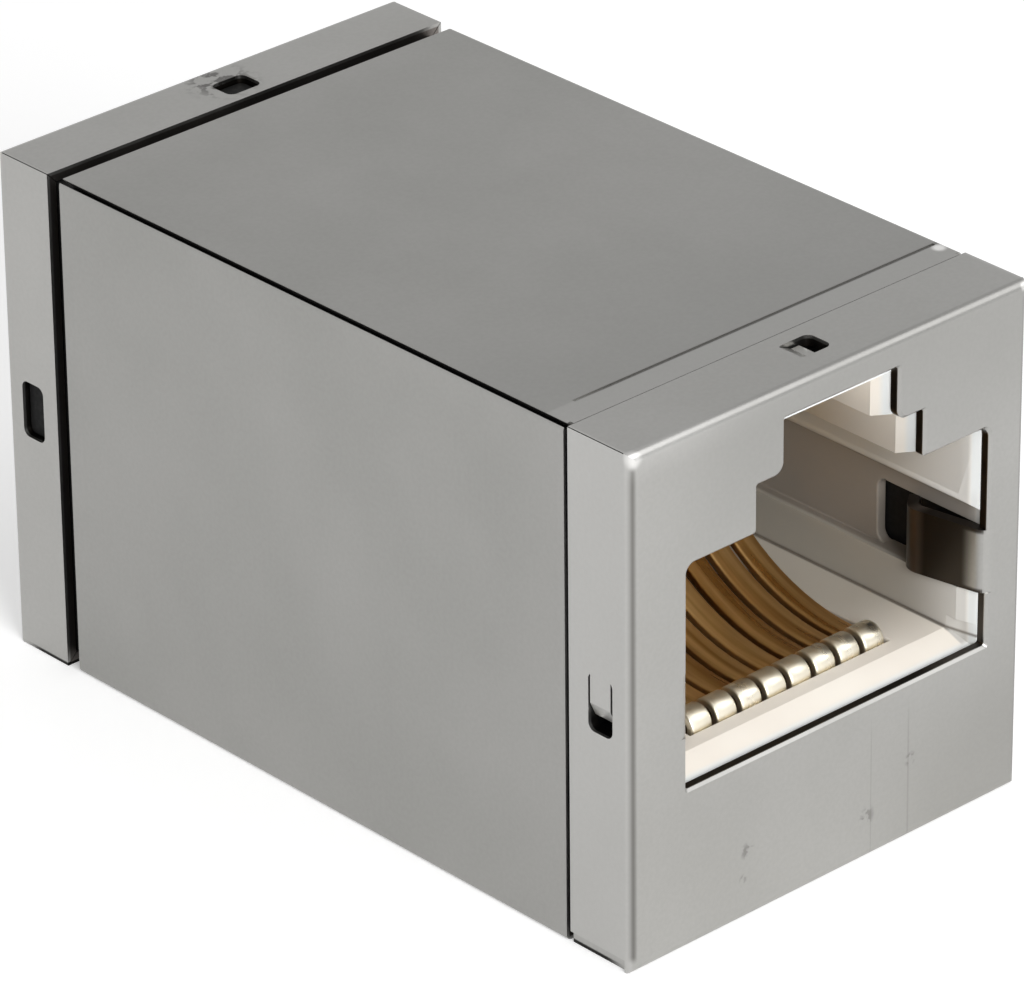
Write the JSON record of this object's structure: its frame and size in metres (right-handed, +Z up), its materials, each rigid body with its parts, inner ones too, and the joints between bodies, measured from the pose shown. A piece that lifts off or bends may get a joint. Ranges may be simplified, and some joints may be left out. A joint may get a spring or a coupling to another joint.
{
  "type": "rj45 inline coupler",
  "caption": "Shielded inline coupler: back-to-back modular jack sockets in a folded metal can, for joining twisted-pair network leads end to end.",
  "frame": {"origin": "middle of the underside", "axes": "+X across the sockets, +Y from the front face to the rear face, +Z up towards the latch notches"},
  "size_m": [0.016, 0.0278, 0.0169],
  "materials": {
    "plated_sheet": "satin nickel plate on thin steel sheet",
    "ivory_plastic": "moulded, fine satin",
    "black_plastic": "moulded, matt",
    "gold_contact": "gold-plated spring strip",
    "board_laminate": "green solder mask"
  },
  "bodies": {
    "root": {"sleeve": "plated_sheet", "front_cap": "plated_sheet", "rear_cap": "plated_sheet", "insulating_liner": "black_plastic", "front_jack_housing": "ivory_plastic", "rear_jack_housing": "ivory_plastic", "front_contact_carrier": "black_plastic", "rear_contact_carrier": "black_plastic", "circuit_board": "board_laminate", "front_contact_1": "gold_contact", "front_contact_2": "gold_contact", "front_contact_3": "gold_contact", "front_contact_4": "gold_contact", "front_contact_5": "gold_contact", "front_contact_6": "gold_contact", "front_contact_7": "gold_contact", "front_contact_8": "gold_contact", "rear_contact_1": "gold_contact", "rear_contact_2": "gold_contact", "rear_contact_3": "gold_contact", "rear_contact_4": "gold_contact", "rear_contact_5": "gold_contact", "rear_contact_6": "gold_contact", "rear_contact_7": "gold_contact", "rear_contact_8": "gold_contact"}
  },
  "joints": []
}
